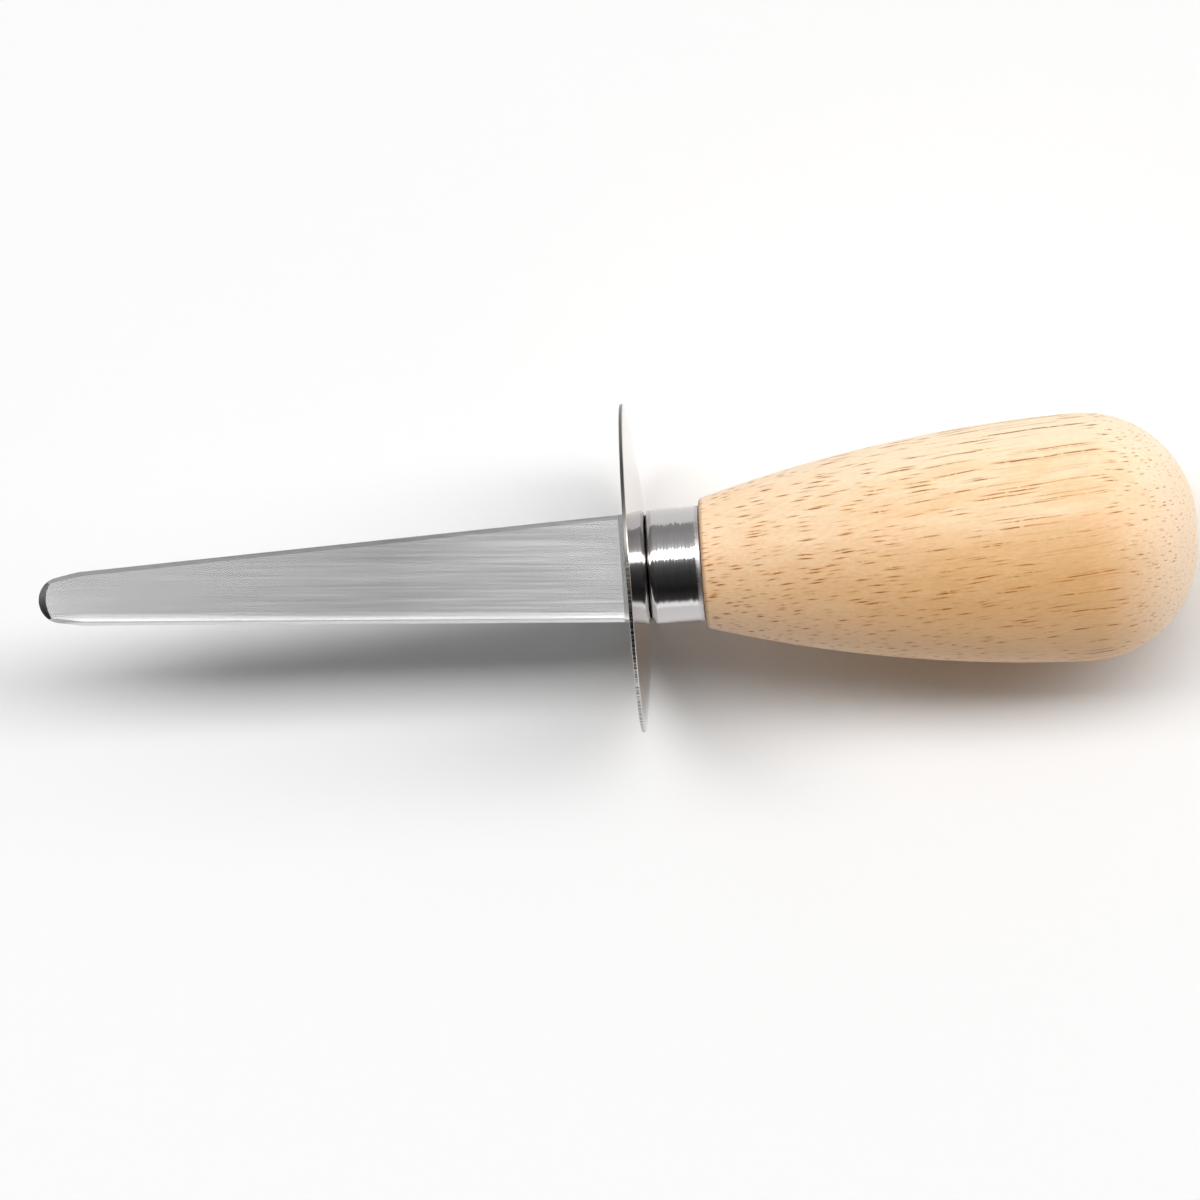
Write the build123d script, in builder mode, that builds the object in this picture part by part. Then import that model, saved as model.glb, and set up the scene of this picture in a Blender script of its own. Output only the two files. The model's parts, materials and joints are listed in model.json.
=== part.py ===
from build123d import *
from math import acos, asin, atan2, cos, hypot, radians, sin, sqrt, tan
import os

# An oyster knife, lying as it comes to rest on a table: on the rim of its guard and the belly of its handle.
# Every piece is drawn on the knife's own axis. Along it, zero is the face where guard and ferrule meet,
# the blade is on the minus side and the handle on the plus side. The blade's flat lies in the knife plane.
# Sizes are in millimetres.

# Blade: one strip, with a tapered ground part, an unground band at the guard and a tang. Grinding takes a
# little off each face, so the unground band stands proud of them.
blade_len = 83.8
blade_thickness = 1.6
root_width = 15.1
taper_end_width = 7.44
taper_end_back = 6.1
tip_radius = 3.2
tip_offset = 1.05
edge_bevel = 0.6
tip_bevel_width = 1.05
tip_bevel_depth = 0.55
tip_grind_radius = 4.4
face_grind_depth = 0.04
unground_len = 3.1
tang_width = 8.0
tang_end_width = 6.0
tang_len = 52.0

# Guard: a dished disc of thin sheet, flat where it is clamped.
guard_dia = 45.4
guard_sheet = 0.6
guard_seat_dia = 15.6
dish_depth = 1.85
dish_bow = 0.16
rim_round = 0.15

# Ferrule: a drawn cup, closed at the guard.
ferrule_dia = 16.0
ferrule_len = 7.5
ferrule_wall = 0.5
ferrule_corner = 1.1
ferrule_mouth_round = 0.2

# Handle: one turned piece with a spigot inside the ferrule and a drilled hole for the tang. Its front face
# stands out from the ferrule by the front step.
handle_len = 68.1
front_step = 0.9
handle_dia = 34.3
flank_radius = 200.0
butt_radius = 15.5
crown_radius = 60.0
front_round = 0.6
tang_hole_dia = 8.8
tang_hole_spare = 2.0
drill_point_angle = 118.0

# Fits and cuts.
slot_clearance = 0.1
spigot_fit = 0.05
spigot_gap = 0.2
cut_overrun = 0.3


def crossing(centre_a, reach_a, centre_b, reach_b):
    """The point at reach_a from centre_a and reach_b from centre_b, on the left going from a to b."""
    run_x = centre_b[0] - centre_a[0]
    run_y = centre_b[1] - centre_a[1]
    apart = hypot(run_x, run_y)
    foot = (reach_a**2 - reach_b**2 + apart**2) / (2 * apart)
    height = sqrt(reach_a**2 - foot**2)
    x = centre_a[0] + (run_x * foot - run_y * height) / apart
    y = centre_a[1] + (run_y * foot + run_x * height) / apart
    return x, y


def reach_through(start, through, reach):
    """The point at a reach from start, on the line from start through another point."""
    reach_share = reach / hypot(through[0] - start[0], through[1] - start[1])
    x = start[0] + (through[0] - start[0]) * reach_share
    y = start[1] + (through[1] - start[1]) * reach_share
    return x, y


# Outline of the handle: a long flank arc, a butt arc and a flatter crown arc, each tangent to the next.
handle_start = ferrule_len
handle_end = handle_start + handle_len
ferrule_r = ferrule_dia / 2
front_r = ferrule_r + front_step
flank_rise = handle_dia / 2 - front_r
flank_run = sqrt(2 * flank_radius * flank_rise - flank_rise**2)
flank_centre = (handle_start + flank_run, handle_dia / 2 - flank_radius)
crown_centre = (handle_end - crown_radius, 0)
butt_centre = crossing(crown_centre, crown_radius - butt_radius, flank_centre, flank_radius - butt_radius)
flank_end = reach_through(flank_centre, butt_centre, flank_radius)
crown_start = reach_through(crown_centre, butt_centre, crown_radius)

# The dish of the guard, and the small round on its rim that touches the table.
guard_r = guard_dia / 2
dish_run = guard_r - guard_seat_dia / 2
dish_chord = hypot(dish_depth, dish_run)
rim_slope = atan2(dish_depth, dish_run) + 2 * atan2(2 * dish_bow, dish_chord)
rim_x = -dish_depth + rim_round * (sin(rim_slope) - cos(rim_slope))
rim_r = guard_r - rim_round * (sin(rim_slope) + cos(rim_slope))

# How the knife lies: a line under the rim's round and the butt arc is the table, at zero height.
rest_span = butt_centre[0] - rim_x
rest_drop = rim_r - butt_centre[1]
lie = acos((butt_radius - rim_round) / hypot(rest_span, rest_drop)) - atan2(rest_span, rest_drop)
lie_height = rim_round + rim_x * sin(lie) + rim_r * cos(lie)
tip_x = -guard_sheet - blade_len
ground_half = blade_thickness / 2 - face_grind_depth
tip_land = 2 * (ground_half - tip_bevel_depth)
reach_back = butt_centre[0] * cos(lie) + butt_centre[1] * sin(lie) + butt_radius
reach_front = tip_x * cos(lie) - tip_land / 2 * sin(lie)

# The knife plane holds the blade's flat, with x along the knife towards the handle. The across plane is square
# to the knife, with x over the blade's width and y through its thickness.
knife = Plane(
    origin=(-(reach_front + reach_back) / 2, 0, lie_height),
    x_dir=(cos(lie), 0, -sin(lie)),
    z_dir=(sin(lie), 0, cos(lie)),
)
across = Plane(origin=knife.origin, x_dir=knife.y_dir, z_dir=knife.x_dir)
spine = Axis(knife.origin, knife.x_dir)

# Flat shapes that more than one piece takes: the tang, its slot, and the drilled hole in the handle.
tang_start = -guard_sheet
tang_tip = tang_start + tang_len
with BuildSketch(knife) as tang_shape:
    with BuildLine():
        Polyline(
            (tang_start, -tang_width / 2),
            (tang_tip, -tang_end_width / 2),
            (tang_tip, tang_end_width / 2),
            (tang_start, tang_width / 2),
            close=True,
        )
    make_face()

slot_width = tang_width + 2 * slot_clearance
slot_height = blade_thickness + 2 * slot_clearance

hole_start = ferrule_wall + spigot_gap
hole_r = tang_hole_dia / 2
hole_end = tang_tip + tang_hole_spare
with BuildSketch(knife) as tang_hole:
    with BuildLine():
        Polyline(
            (hole_start, 0),
            (hole_start, hole_r),
            (hole_end, hole_r),
            (hole_end + hole_r / tan(radians(drill_point_angle / 2)), 0),
            close=True,
        )
    make_face()

# Blade. The strip's outline is the hull of the root, a wide round where the taper ends and a square nose.
# The tip round touches both sides of the nose, and leaves the rest of the strip as it is.
taper_end_r = taper_end_width / 2
nose_lean = asin((taper_end_r - tip_radius) / (taper_end_back - tip_radius))
nose_half = (taper_end_r - taper_end_back * sin(nose_lean)) / cos(nose_lean)
tip_centre = tip_x + tip_radius
with BuildSketch(knife) as strip_outline:
    with BuildLine():
        Line((tang_start, -root_width / 2), (tang_start, root_width / 2))
        CenterArc((tip_x + taper_end_back, tip_offset), taper_end_r, 0, 360)
        Line((tip_x, tip_offset - nose_half), (tip_x, tip_offset + nose_half))
    make_hull()

with BuildSketch(knife) as tip_round:
    with Locations((tip_centre, tip_offset)):
        Circle(tip_radius)
    with Locations((tip_centre - tip_radius * sin(nose_lean), 0)):
        Rectangle(blade_len, root_width + 2 * cut_overrun, align=(Align.MIN, Align.CENTER))

grind_centre = tip_x + tip_bevel_width + tip_grind_radius
grind_plane = Plane(
    origin=knife.from_local_coords((grind_centre, tip_offset, 0)),
    x_dir=across.x_dir,
    z_dir=across.z_dir,
)
overrun_share = cut_overrun / tip_bevel_depth
half_thickness = blade_thickness / 2

with BuildPart() as blade:
    # The long edges are ground on both faces, from the square nose to the root. Then the nose is rounded.
    extrude(strip_outline.sketch, amount=ground_half, both=True)
    flats = blade.faces().filter_by(Axis(knife.origin, knife.z_dir))
    chamfer([edge for flat in flats for edge in flat.edges().sort_by(spine)[1:-1]], edge_bevel)
    extrude(tip_round.sketch, amount=half_thickness, both=True, mode=Mode.INTERSECT)
    # The round tip is ground on both faces, as part of a cone round a point further back.
    with BuildSketch(grind_plane):
        with BuildLine():
            Polyline(
                (tip_grind_radius - tip_bevel_width * overrun_share, ground_half + cut_overrun),
                (tip_grind_radius + tip_bevel_width, ground_half - tip_bevel_depth),
                (tip_grind_radius + tip_bevel_width + cut_overrun, ground_half - tip_bevel_depth),
                (tip_grind_radius + tip_bevel_width + cut_overrun, ground_half + cut_overrun),
                close=True,
            )
        make_face()
        mirror(about=Plane.XZ)
    revolve(axis=Axis(grind_plane.origin, knife.z_dir), revolution_arc=180, mode=Mode.SUBTRACT)
    # The unground band keeps its square edges up to the guard.
    with BuildSketch(knife):
        add(strip_outline.sketch_local)
        with Locations((tang_start, 0)):
            Rectangle(unground_len, root_width, align=(Align.MAX, Align.CENTER), mode=Mode.INTERSECT)
    extrude(amount=half_thickness, both=True)
    extrude(tang_shape.sketch, amount=half_thickness, both=True)

# Guard: the section of the sheet, turned round the axis, with the slot punched through.
with BuildPart() as guard:
    with BuildSketch(knife) as dish:
        with BuildLine():
            Line((0, 0), (0, guard_seat_dia / 2))
            SagittaArc((0, guard_seat_dia / 2), (-dish_depth, guard_r), -dish_bow)
            offset(amount=guard_sheet, side=Side.LEFT)
        make_face()
        fillet(dish.vertices().sort_by(Axis.Y)[-2:], rim_round)
    revolve(axis=spine)
    with BuildSketch(across):
        Rectangle(slot_width, slot_height)
    extrude(amount=guard_sheet + dish_depth, both=True, mode=Mode.SUBTRACT)

# Ferrule: the cup's section turned round the axis, with the slot punched through its closed end.
with BuildPart() as ferrule:
    with BuildSketch(knife) as cup:
        Rectangle(ferrule_len, ferrule_r, align=(Align.MIN, Align.MIN))
        fillet(cup.vertices().group_by(Axis.Y)[-1].sort_by(Axis.X)[0], ferrule_corner)
        fillet(cup.vertices().group_by(Axis.Y)[-1].sort_by(Axis.X)[-1], ferrule_mouth_round)
        with BuildSketch(mode=Mode.SUBTRACT) as hollow:
            with Locations((ferrule_wall, 0)):
                Rectangle(ferrule_len, ferrule_r - ferrule_wall, align=(Align.MIN, Align.MIN))
            fillet(hollow.vertices().group_by(Axis.Y)[-1].sort_by(Axis.X)[0], ferrule_corner - ferrule_wall)
    revolve(axis=spine)
    with BuildSketch(across):
        Rectangle(slot_width, slot_height)
    extrude(amount=ferrule_wall + cut_overrun, mode=Mode.SUBTRACT)

# Handle: spigot, front face, flank, butt and crown are turned in one, and the hole is drilled down the axis.
spigot_r = ferrule_r - ferrule_wall - spigot_fit
with BuildPart() as handle:
    with BuildSketch(knife) as turned:
        with BuildLine():
            Polyline(
                (handle_end, 0),
                (hole_start, 0),
                (hole_start, spigot_r),
                (handle_start, spigot_r),
                (handle_start, front_r),
            )
            RadiusArc((handle_start, front_r), flank_end, flank_radius)
            RadiusArc(flank_end, crown_start, butt_radius)
            RadiusArc(crown_start, (handle_end, 0), crown_radius)
        make_face()
        fillet(turned.vertices().sort_by_distance((handle_start, front_r))[0], front_round)
        chamfer(turned.vertices().sort_by_distance((hole_start, spigot_r))[0], ferrule_corner - ferrule_wall)
    revolve(axis=spine)
    revolve(tang_hole.sketch, axis=spine, mode=Mode.SUBTRACT)

# Tang adhesive: it fills the drilled hole all round the flat tang.
with BuildPart() as tang_adhesive:
    revolve(tang_hole.sketch, axis=spine)
    extrude(tang_shape.sketch, amount=half_thickness, both=True, mode=Mode.SUBTRACT)

blade.part.label = "blade"
guard.part.label = "guard"
ferrule.part.label = "ferrule"
handle.part.label = "handle"
tang_adhesive.part.label = "tang_adhesive"

os.makedirs("parts", exist_ok=True)
export_step(blade.part, "parts/blade.step")
export_step(guard.part, "parts/guard.step")
export_step(ferrule.part, "parts/ferrule.step")
export_step(handle.part, "parts/handle.step")
export_step(tang_adhesive.part, "parts/tang_adhesive.step")
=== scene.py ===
import bpy
import json
from math import atan2, cos, pi, radians, sin
from mathutils import Matrix, Vector

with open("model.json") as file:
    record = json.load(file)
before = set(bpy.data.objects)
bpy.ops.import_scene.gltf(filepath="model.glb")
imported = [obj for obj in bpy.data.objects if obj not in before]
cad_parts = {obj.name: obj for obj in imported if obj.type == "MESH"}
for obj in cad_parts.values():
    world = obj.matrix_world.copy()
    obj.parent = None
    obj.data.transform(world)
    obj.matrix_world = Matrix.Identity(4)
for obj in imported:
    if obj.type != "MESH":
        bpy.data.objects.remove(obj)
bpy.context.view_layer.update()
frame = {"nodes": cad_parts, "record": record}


# How the knife lies. Each piece was made about the knife's own axis, which slopes down towards the handle.
# The blade's flat face gives that slope, and the seat is the point on the axis where guard and ferrule meet.
# Knife directions: along points to the handle, over goes across the blade, and out leaves its upper face.
mm = 0.001
ground_half = 0.76 * mm
seat_run = 40.0 * mm
flat = next(mount for mount in frame["record"]["mounts"] if mount["name"] == "blade_flat")
out = Vector(flat["axis"]).normalized()
over = Vector((0, 1, 0))
along = over.cross(out)
lie = atan2(out.x, out.z)
on_flat = Vector(flat["pos_m"])
on_axis = on_flat - out * ground_half - over * on_flat.y
seat = on_axis + along * seat_run


# Camera: a metre above the knife, with a long lens, as for a small product. It is tipped two degrees to the
# handle's side, so that it sees the back of the guard, and rolled, so that the knife rises to the right.
view_tip = radians(2.15)
knife_rise = radians(3.97)
picture_width = 165.3 * mm
camera_reach = 1000 * mm
nearest_seen = 10 * mm
aim_along = -6.96 * mm
aim_over = -4.07 * mm
film_width = 36
to_camera = along * sin(view_tip) + out * cos(view_tip)
seen_along = (along - to_camera * along.dot(to_camera)).normalized()
right = seen_along * cos(knife_rise) - over * sin(knife_rise)
up = seen_along * sin(knife_rise) + over * cos(knife_rise)
camera_data = bpy.data.cameras.new("camera")
camera_data.sensor_width = film_width
camera_data.lens = film_width * camera_reach / picture_width
camera_data.clip_start = nearest_seen
camera = bpy.data.objects.new("camera", camera_data)
bpy.context.scene.collection.objects.link(camera)
place = Matrix((right, up, to_camera)).transposed().to_4x4()
place.translation = seat + seen_along * aim_along + over * aim_over + to_camera * camera_reach
camera.matrix_world = place
bpy.context.scene.camera = camera
bpy.context.scene.view_settings.view_transform = "Standard"


# Studio: a dark room with one soft box overhead on the far side, a grey wall beyond it and a low pale strip
# on the near side, which together give the steel its dark and light bands. It is drawn on the world by
# direction, so the table is lit alike everywhere.
def add(tree, kind, settings=None, **links):
    """Adds a node. Settings are its properties. Links go to its inputs, by name or as i0, i1 and so on, and
    hold another node's output, a node, whose first output is taken, or a plain value. In a Map Range, i1 and
    i2 are the range that comes in, and i3 and i4 the range that goes out."""
    node = tree.nodes.new("ShaderNode" + kind)
    for name, value in (settings or {}).items():
        setattr(node, name, value)
    for name, value in links.items():
        number = name[1:]
        socket = node.inputs[int(number)] if number.isdigit() else node.inputs[name.replace("_", " ")]
        if isinstance(value, bpy.types.Node):
            value = value.outputs[0]
        if isinstance(value, bpy.types.NodeSocket):
            tree.links.new(value, socket)
        else:
            socket.default_value = value
    return node


# The room's levels stand against angles in degrees from straight up, towards the far side where positive.
room_levels = ((-90, 1.35), (-81, 1.35), (-75, 0.05), (-50, 0.015), (-18, 0.05), (0, 0.11), (12, 0.26),
               (36, 0.8), (46, 0.5), (75, 0.36), (90, 0.4))
half_turn, full_turn = 180, 360
box_level = 7.0
near_from, near_to = radians(12), radians(15)
far_from, far_to = radians(28), radians(32)
left_from, left_to = -0.62, -0.46
past_left_end = 0.1
white = (1, 1, 1, 1)
smooth = {"interpolation_type": "SMOOTHSTEP"}
multiply = {"operation": "MULTIPLY"}
multiply_add = {"operation": "MULTIPLY_ADD"}
world = bpy.data.worlds.new("studio")
bpy.context.scene.world = world
world.use_nodes = True
studio = world.node_tree
studio.nodes.clear()
sky = add(studio, "SeparateXYZ", Vector=add(studio, "TexCoord"))
tilt = add(studio, "Math", {"operation": "ARCTAN2"}, i0=sky.outputs["Y"], i1=sky.outputs["Z"])
room = add(studio, "ValToRGB", Fac=add(studio, "MapRange", Value=tilt, i1=-pi, i2=pi))
stops = room.color_ramp.elements
for angle, level in room_levels:
    stops.new((angle + half_turn) / full_turn).color = (level, level, level, 1)
stops.remove(stops[0])
near_side = add(studio, "MapRange", smooth, Value=tilt, i1=near_from, i2=near_to)
far_side = add(studio, "MapRange", smooth, Value=tilt, i1=far_from, i2=far_to, i3=box_level, i4=0.0)
box = add(studio, "Math", multiply_add, i0=near_side, i1=far_side, i2=room)
# The box and the room end on the left, past the tip. Beyond the table the camera itself sees plain white.
left_end = add(studio, "MapRange", smooth, Value=sky.outputs["X"], i1=left_from, i2=left_to, i3=past_left_end)
lit = add(studio, "Math", multiply, i0=box, i1=left_end)
seen = add(studio, "LightPath").outputs["Is Camera Ray"]
levels = add(studio, "MixRGB", Fac=seen, Color1=lit, Color2=white)
add(studio, "OutputWorld", Surface=add(studio, "Background", Color=levels))


# Table: a sheet of plain white paper, wide enough for every view. It is matt, so it takes the knife's soft
# shadow and gives the steel something white to mirror.
def linear(hex_colour):
    """The linear RGBA of an sRGB hex colour."""
    shares = [int(hex_colour[i:i + 2], 16) / 255 for i in (1, 3, 5)]
    return [s / 12.92 if s <= 0.04045 else ((s + 0.055) / 1.055) ** 2.4 for s in shares] + [1]


def new_material(name):
    """A material with an empty node tree. Gives both."""
    material = bpy.data.materials.new(name)
    material.use_nodes = True
    material.node_tree.nodes.clear()
    return material, material.node_tree


def finish_surface(tree, **looks):
    """Closes a material's tree with one Principled shader that has the given looks."""
    add(tree, "OutputMaterial", Surface=add(tree, "BsdfPrincipled", **looks))


table_half = 8.0
corners = [(-table_half, -table_half, 0), (table_half, -table_half, 0),
           (table_half, table_half, 0), (-table_half, table_half, 0)]
sheet = bpy.data.meshes.new("table")
sheet.from_pydata(corners, [], [(0, 1, 2, 3)])
table = bpy.data.objects.new("table", sheet)
bpy.context.scene.collection.objects.link(table)
paper, tree = new_material("white_paper")
finish_surface(tree, Base_Color=linear("#fbfbfb"), Roughness=0.9, Specular_IOR_Level=0.1)
sheet.materials.append(paper)


# Blade: a strip of stainless steel, stamped out and ground lengthwise on a wheel, which leaves fine lines
# and a slightly hollow face. A band next to the guard is painted a darker grey, and a bright line along the
# lower bevel is a painted highlight.
def knife_mm(tree):
    """The place on the knife in millimetres: x from the seat towards the handle, y over the blade, z out."""
    return add(tree, "Mapping", {"vector_type": "TEXTURE"}, Vector=add(tree, "TexCoord").outputs["Object"],
               Location=seat, Rotation=(0, lie, 0), Scale=(mm, mm, mm))


def dress(node_name, material):
    """Gives a node of the frame its material."""
    slots = frame["nodes"][node_name].data.materials
    slots.clear()
    slots.append(material)


dark_band_x, dark_band_blend = -3.7, 0.05
root_x, root_edge = -0.6, -7.55
taper_x, taper_edge = -78.3, -2.67
line_length, line_spacing, line_depth = 25.0, 0.385, 0.001
faint_x, faint_lines = -80.0, 0.25
plain_x, plain_lines = -10.0, 0.95
haze_length, haze_width = 33.3, 3.33
haze_least, haze_most = 0.95, 1.05
noise_least, noise_middle, noise_most = 0.3, 0.5, 0.7
tip_x, seat_x = -85.0, 0.0
painted_reflection_greys = ((0.0, "#c6c6c6"), (0.06, "#bababa"), (0.15, "#b4b4b4"), (0.58, "#a5a5a5"), (0.75, "#b2b2b2"),
              (0.95, "#bdbdbd"))
dark_band_grey = "#9a9896"
highlight_to, highlight_from, highlight_share = 0.57, 0.63, 0.55
hollow_to, hollow_from = 0.4, 1.9
hollow_depth, hollow_power = 0.07, 2.6

# Satin, lengthwise ground steel: what it mirrors is drawn out across the blade to a soft grey, with fine
# lines that run with the lower edge and are plainest near the guard. The real ones are about 0.1 mm apart,
# too fine to show, so they are drawn four times as coarse. A bright line along the lower bevel is a painted
# highlight.
ground_steel, tree = new_material("ground_stainless_steel")
spot = knife_mm(tree)
where = add(tree, "SeparateXYZ", Vector=spot)
lower_edge = add(tree, "MapRange", Value=where.outputs["X"], i1=taper_x, i2=root_x, i3=taper_edge,
                 i4=root_edge)
from_edge = add(tree, "Math", {"operation": "SUBTRACT"}, i0=where.outputs["Y"], i1=lower_edge)
stroke = add(tree, "CombineXYZ", X=where.outputs["X"], Y=from_edge, Z=where.outputs["Z"])
lines = add(tree, "Mapping", Vector=stroke, Scale=(1 / line_length, 1 / line_spacing, 1 / line_spacing))
lines = add(tree, "TexNoise", Vector=lines, Scale=1.0, Detail=2.0, Roughness=0.6)
haze = add(tree, "Mapping", Vector=spot, Scale=(1 / haze_length, 1 / haze_width, 1 / haze_width))
haze = add(tree, "TexNoise", Vector=haze, Scale=1.0, Detail=2.0, Roughness=0.5)
haze = add(tree, "MapRange", Value=haze, i1=noise_least, i2=noise_most, i3=haze_least, i4=haze_most)
# The face's grey is a painted reflection: darker in the middle of the blade and lighter towards the tip and
# the guard.
painted_reflection_ramp = add(tree, "ValToRGB", Fac=add(tree, "MapRange", Value=where.outputs["X"], i1=tip_x, i2=seat_x))
stops = painted_reflection_ramp.color_ramp.elements
for share, grey in painted_reflection_greys:
    stops.new(share).color = linear(grey)
stops.remove(stops[-1])
stops.remove(stops[0])
bite = add(tree, "MapRange", Value=where.outputs["X"], i1=faint_x, i2=plain_x, i3=faint_lines, i4=plain_lines)
scored = add(tree, "Math", {"operation": "SUBTRACT"}, i0=lines, i1=noise_middle)
scored = add(tree, "Math", multiply_add, i0=scored, i1=bite, i2=haze)
tone = add(tree, "VectorMath", {"operation": "SCALE"}, i0=painted_reflection_ramp, Scale=scored)
# A painted highlight: the face turns towards white along the lower bevel.
painted_highlight = add(tree, "MapRange", Value=from_edge, i1=highlight_to, i2=highlight_from, i3=highlight_share, i4=0.0)
highlighted_face = add(tree, "MixRGB", Fac=painted_highlight, Color1=tone, Color2=white)
# A band next to the guard is painted a darker grey.
dark_band = add(tree, "MapRange", Value=where.outputs["X"], i1=dark_band_x - dark_band_blend,
               i2=dark_band_x + dark_band_blend)
face = add(tree, "MixRGB", Fac=dark_band, Color1=highlighted_face, Color2=linear(dark_band_grey))
hollow = add(tree, "MapRange", Value=from_edge, i1=hollow_to, i2=hollow_from, i3=1.0, i4=0.0)
hollow = add(tree, "Math", {"operation": "POWER"}, i0=hollow, i1=hollow_power)
hollow = add(tree, "Math", multiply, i0=hollow, i1=hollow_depth)
height = add(tree, "Math", multiply_add, i0=lines, i1=line_depth, i2=hollow)
finish_surface(tree, Metallic=1.0, Base_Color=face, Roughness=0.27, Anisotropic=0.8,
               Tangent=add(tree, "CombineXYZ", X=over.x, Y=over.y, Z=over.z),
               Normal=add(tree, "Bump", Height=height, Strength=1.0, Distance=mm))
dress("blade", ground_steel)


# Guard: a disc of thin stainless sheet, punched out, pressed into a shallow dish and slotted for the tang. It
# is trapped between the blade's shoulders and the ferrule, with its hollow side towards the blade.
rim_r, rear_corner_x = 22.7, -1.85
edge_from, edge_to = 0.14, 0.08
corner_from, corner_to = 0.12, 0.06
glint_side_from, glint_side_to = 2.0, -3.0
mark_pitch, mark_least, mark_most = 0.4, 0.45, 0.58
wave_width, wave_height = 0.833, 0.004
sheet_grey, sheared_grey, glint_grey = "#d6d3d1", "#6b6765", "#d0ccc9"
face_roughness, edge_roughness = 0.07, 0.32

# Polished stainless sheet: a near mirror, which the mop's faint waves soften a little. The sheared edge in
# front of the rear corner stays dull. On the near side its shear marks carry painted glints.
polished_steel, tree = new_material("polished_stainless_steel")
spot = knife_mm(tree)
where = add(tree, "SeparateXYZ", Vector=spot)
spoke = add(tree, "CombineXYZ", Y=where.outputs["Y"], Z=where.outputs["Z"])
reach = add(tree, "VectorMath", {"operation": "LENGTH"}, i0=spoke).outputs["Value"]
edge = add(tree, "MapRange", Value=reach, i1=rim_r - edge_from, i2=rim_r - edge_to)
sheared = add(tree, "MapRange", Value=where.outputs["X"], i1=rear_corner_x - corner_from,
              i2=rear_corner_x - corner_to, i3=1.0, i4=0.0)
sheared = add(tree, "Math", multiply, i0=edge, i1=sheared)
turn = add(tree, "Math", {"operation": "ARCTAN2"}, i0=where.outputs["Y"], i1=where.outputs["Z"])
marks = add(tree, "Math", multiply, i0=turn, i1=rim_r / mark_pitch)
marks = add(tree, "TexNoise", {"noise_dimensions": "1D"}, W=marks, Scale=1.0, Detail=2.0)
marks = add(tree, "MapRange", Value=marks, i1=mark_least, i2=mark_most)
# Painted glints: the shear marks are painted pale on the near side of the rim only.
glint_side = add(tree, "MapRange", Value=where.outputs["Y"], i1=glint_side_from, i2=glint_side_to)
painted_glints = add(tree, "Math", multiply, i0=marks, i1=glint_side)
edge_tone = add(tree, "MixRGB", Fac=painted_glints, Color1=linear(sheared_grey), Color2=linear(glint_grey))
waves = add(tree, "TexNoise", Vector=spot, Scale=1 / wave_width, Detail=6.0, Roughness=0.7)
finish_surface(tree, Metallic=1.0,
               Base_Color=add(tree, "MixRGB", Fac=sheared, Color1=linear(sheet_grey), Color2=edge_tone),
               Roughness=add(tree, "MapRange", Value=sheared, i3=face_roughness, i4=edge_roughness),
               Normal=add(tree, "Bump", Height=waves, Strength=1.0, Distance=wave_height * mm))
dress("guard", polished_steel)


# Ferrule: a cup drawn from stainless sheet and polished as it turned. Its closed end is slotted for the tang,
# and its skirt is pressed over the handle's spigot.
ferrule_back = 7.5
mouth_from, mouth_to = 0.9, 0.5
ring_width, ring_run, ring_lean = 0.2, 8.33, 0.05
scuff_width, scuff_most, scuff_share = 0.333, 0.55, 0.3
skirt_roughness, mouth_roughness = 0.12, 0.5

# Turned and polished steel: bright and dark bands along the knife. The mop's fine rings lean the surface a
# little this way and that, so the bands have frayed edges. Pressing has scuffed the skirt's mouth dull.
turned_steel, tree = new_material("turned_polished_steel")
spot = knife_mm(tree)
where = add(tree, "SeparateXYZ", Vector=spot)
rings = add(tree, "Mapping", Vector=spot, Scale=(1 / ring_width, 1 / ring_run, 1 / ring_run))
rings = add(tree, "TexNoise", Vector=rings, Scale=1.0, Detail=5.0, Roughness=0.65)
lean = add(tree, "MapRange", Value=rings, i1=noise_least, i2=noise_most, i3=-ring_lean, i4=ring_lean)
skirt_normal = add(tree, "NewGeometry").outputs["Normal"]
axis_way = add(tree, "CombineXYZ", X=along.x, Y=along.y, Z=along.z)
round_way = add(tree, "VectorMath", {"operation": "CROSS_PRODUCT"}, i0=axis_way, i1=skirt_normal)
leaning = add(tree, "VectorMath", {"operation": "SCALE"}, i0=round_way, Scale=lean)
ringed = add(tree, "VectorMath", {"operation": "ADD"}, i0=skirt_normal, i1=leaning)
scuffs = add(tree, "TexNoise", Vector=spot, Scale=1 / scuff_width, Detail=3.0)
scuffs = add(tree, "MapRange", Value=scuffs, i1=noise_least, i2=scuff_most, i3=scuff_share)
mouth = add(tree, "MapRange", Value=where.outputs["X"], i1=ferrule_back - mouth_from,
            i2=ferrule_back - mouth_to)
worn = add(tree, "Math", multiply, i0=mouth, i1=scuffs)
finish_surface(tree, Metallic=1.0, Base_Color=linear("#c5c2c2"),
               Roughness=add(tree, "MapRange", Value=worn, i3=skirt_roughness, i4=mouth_roughness),
               Normal=add(tree, "VectorMath", {"operation": "NORMALIZE"}, i0=ringed))
dress("ferrule", turned_steel)


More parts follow.
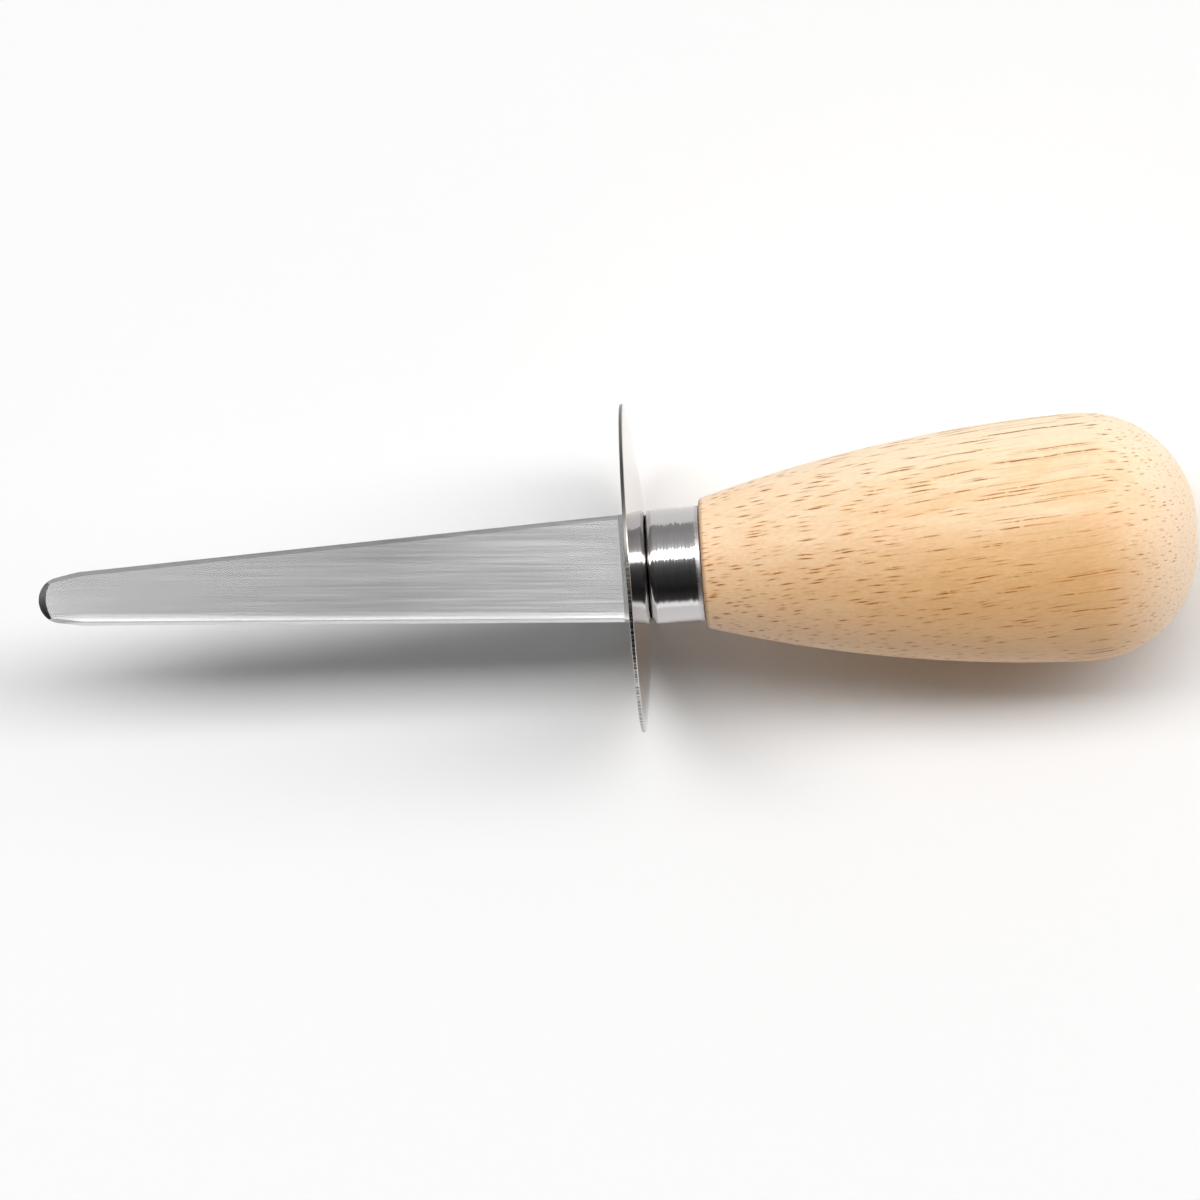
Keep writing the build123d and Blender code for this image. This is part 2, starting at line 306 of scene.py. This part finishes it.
# Handle: one piece of rubberwood, turned to a pear shape, sanded and sealed with a satin lacquer. A spigot on
# its front carries the ferrule, and a hole drilled along it holds the tang.
grain_rise, grain_dip = 0.075, -0.03
vessel_spacing, vessel_squash, vessel_spread = 0.5, 0.4, 0.12
vessel_depth, fibre_height = -0.008, 0.012
wander_length, wander_by = 8.33, 0.8
halo_r, halo_share, halo_brown = 0.24, 0.95, "#cc8230"
core_r, core_inner, core_brown = 0.07, -0.05, "#7c4408"
chance_least, chance_most, faintest_vessel = 0.05, 0.8, 0.2
filling_width, filling_length = 0.667, 0.909
filled_below, open_above, filled_share = 0.34, 0.5, 0.15
bare_x, bare_end_x, bare_by = 12.0, 40.0, 0.1
butt_x, butt_end_x, butt_vessels = 62.0, 74.0, 0.5
band_width, band_length = 2.86, 20.0
fibre_width, fibre_length = 0.286, 1.67
fibre_dark, fibre_light = 0.89, 1.09
lit_side_y = 14.0
wood_tones = ((0.12, "#e8b376"), (0.40, "#efc087"), (0.60, "#f3d0a2"), (0.8, "#f5e0bd"))
rosy_x, rosy_end_x, rosy_share, rosy_end_share, rosy_tone = 8.0, 45.0, 0.55, 0.1, "#f1cda9"
lit_butt_x, lit_butt_end_x, lit_butt_share, lit_butt_tone = 60.0, 74.0, 0.7, "#f8e3c8"
ferrule_strip_length, ferrule_strip_share, ferrule_strip_brown = 0.6, 0.6, "#7d5638"

# Lacquered rubberwood: pale, with soft bands and short fibres under a low sheen. Its vessels are tubes along
# the grain, which the turned surface cuts at a flat angle, so they show as brown dashes on the flank and as
# dots on the butt. Lacquer fills some of them. The far side is painted paler and the near side more ochre, as
# painted light and shade, and the butt is painted paler as painted light.
rubberwood, tree = new_material("lacquered_rubberwood")
spot = knife_mm(tree)
where = add(tree, "SeparateXYZ", Vector=spot)
level = add(tree, "Math", multiply_add, i0=where.outputs["X"], i1=-grain_rise, i2=where.outputs["Y"])
below = add(tree, "Math", multiply_add, i0=where.outputs["X"], i1=-grain_dip, i2=where.outputs["Z"])
grain = add(tree, "CombineXYZ", X=level, Y=below, Z=where.outputs["X"])
drift = add(tree, "TexNoise", Vector=grain, Scale=1 / wander_length, Detail=1.0).outputs["Color"]
wander = add(tree, "VectorMath", multiply_add, i0=drift, i1=(wander_by, wander_by, 0.0), i2=grain)
vessels = add(tree, "Mapping", Vector=wander, Scale=(1.0, vessel_squash, 1.0))
vessels = add(tree, "TexVoronoi", {"voronoi_dimensions": "2D"}, Vector=vessels, Scale=1 / vessel_spacing)
chance = add(tree, "SeparateColor", Color=vessels.outputs["Color"])
bore = add(tree, "Math", multiply_add, i0=chance.outputs["Red"], i1=-vessel_spread,
           i2=vessels.outputs["Distance"])
halo = add(tree, "MapRange", smooth, Value=bore, i1=0.0, i2=halo_r, i3=halo_share, i4=0.0)
core = add(tree, "MapRange", smooth, Value=bore, i1=core_inner, i2=core_r, i3=1.0, i4=0.0)
unfilled = add(tree, "Mapping", Vector=grain,
               Scale=(1 / filling_width, 1 / filling_width, 1 / filling_length))
unfilled = add(tree, "TexNoise", Vector=unfilled, Scale=1.0, Detail=3.0)
bare = add(tree, "MapRange", Value=where.outputs["X"], i1=bare_x, i2=bare_end_x, i3=bare_by, i4=0.0)
unfilled = add(tree, "Math", {"operation": "ADD"}, i0=unfilled, i1=bare)
unfilled = add(tree, "MapRange", Value=unfilled, i1=filled_below, i2=open_above, i3=filled_share, i4=1.0)
stain = add(tree, "MapRange", Value=chance.outputs["Green"], i1=chance_least, i2=chance_most,
            i3=faintest_vessel)
stain = add(tree, "Math", multiply, i0=stain, i1=unfilled)
sanded = add(tree, "MapRange", Value=where.outputs["X"], i1=butt_x, i2=butt_end_x, i3=1.0, i4=butt_vessels)
stain = add(tree, "Math", multiply, i0=stain, i1=sanded)
halo = add(tree, "Math", multiply, i0=halo, i1=stain)
core = add(tree, "Math", multiply, i0=core, i1=stain)
bands = add(tree, "Mapping", Vector=grain, Scale=(1 / band_width, 1 / band_width, 1 / band_length))
bands = add(tree, "TexNoise", Vector=bands, Scale=1.0, Detail=6.0, Roughness=0.7)
fibres = add(tree, "Mapping", Vector=grain, Scale=(1 / fibre_width, 1 / fibre_width, 1 / fibre_length))
fibres = add(tree, "TexNoise", Vector=fibres, Scale=1.0, Detail=4.0, Roughness=0.75)
# Painted light and shade: the far side of the handle is painted paler and the near side more ochre.
side = add(tree, "MapRange", Value=level, i1=-lit_side_y, i2=lit_side_y)
bands_and_light = add(tree, "Math", {"operation": "SUBTRACT"}, i0=bands, i1=noise_middle)
bands_and_light = add(tree, "Math", {"operation": "ADD"}, i0=side, i1=bands_and_light)
tint = add(tree, "ValToRGB", Fac=bands_and_light)
stops = tint.color_ramp.elements
for share, wood_tone in wood_tones:
    stops.new(share).color = linear(wood_tone)
stops.remove(stops[0])
stops.remove(stops[-1])
rosy = add(tree, "MapRange", smooth, Value=where.outputs["X"], i1=rosy_x, i2=rosy_end_x, i3=rosy_share,
           i4=rosy_end_share)
flesh = add(tree, "MixRGB", Fac=rosy, Color1=tint, Color2=linear(rosy_tone))
# Painted light: the butt is painted paler, where it faces the light from the right.
painted_butt_light = add(tree, "MapRange", smooth, Value=where.outputs["X"], i1=lit_butt_x, i2=lit_butt_end_x,
                i3=0.0, i4=lit_butt_share)
flesh = add(tree, "MixRGB", Fac=painted_butt_light, Color1=flesh, Color2=linear(lit_butt_tone))
streaks = add(tree, "MapRange", Value=fibres, i1=noise_least, i2=noise_most, i3=fibre_dark, i4=fibre_light)
combed = add(tree, "VectorMath", {"operation": "SCALE"}, i0=flesh, Scale=streaks)
stained = add(tree, "MixRGB", Fac=halo, Color1=combed, Color2=linear(halo_brown))
pitted = add(tree, "MixRGB", Fac=core, Color1=stained, Color2=linear(core_brown))
# The wood is painted darker brown in a thin strip where it meets the ferrule.
ferrule_strip = add(tree, "MapRange", Value=where.outputs["X"], i1=ferrule_back, i2=ferrule_back + ferrule_strip_length,
             i3=ferrule_strip_share, i4=0.0)
finished = add(tree, "MixRGB", Fac=ferrule_strip, Color1=pitted, Color2=linear(ferrule_strip_brown))
height = add(tree, "Math", multiply, i0=fibres, i1=fibre_height)
height = add(tree, "Math", multiply_add, i0=core, i1=vessel_depth, i2=height)
finish_surface(tree, Base_Color=finished, Roughness=0.5, Coat_Weight=0.25, Coat_Roughness=0.35,
               Normal=add(tree, "Bump", Height=height, Strength=1.0, Distance=mm))
dress("handle", rubberwood)


# Tang adhesive: epoxy, poured into the drilled hole around the tang and cured there. It is a dull yellow, and
# none of it shows from outside.
epoxy, tree = new_material("cured_epoxy")
finish_surface(tree, Base_Color=linear("#cdbf95"), Roughness=0.5)
dress("tang_adhesive", epoxy)
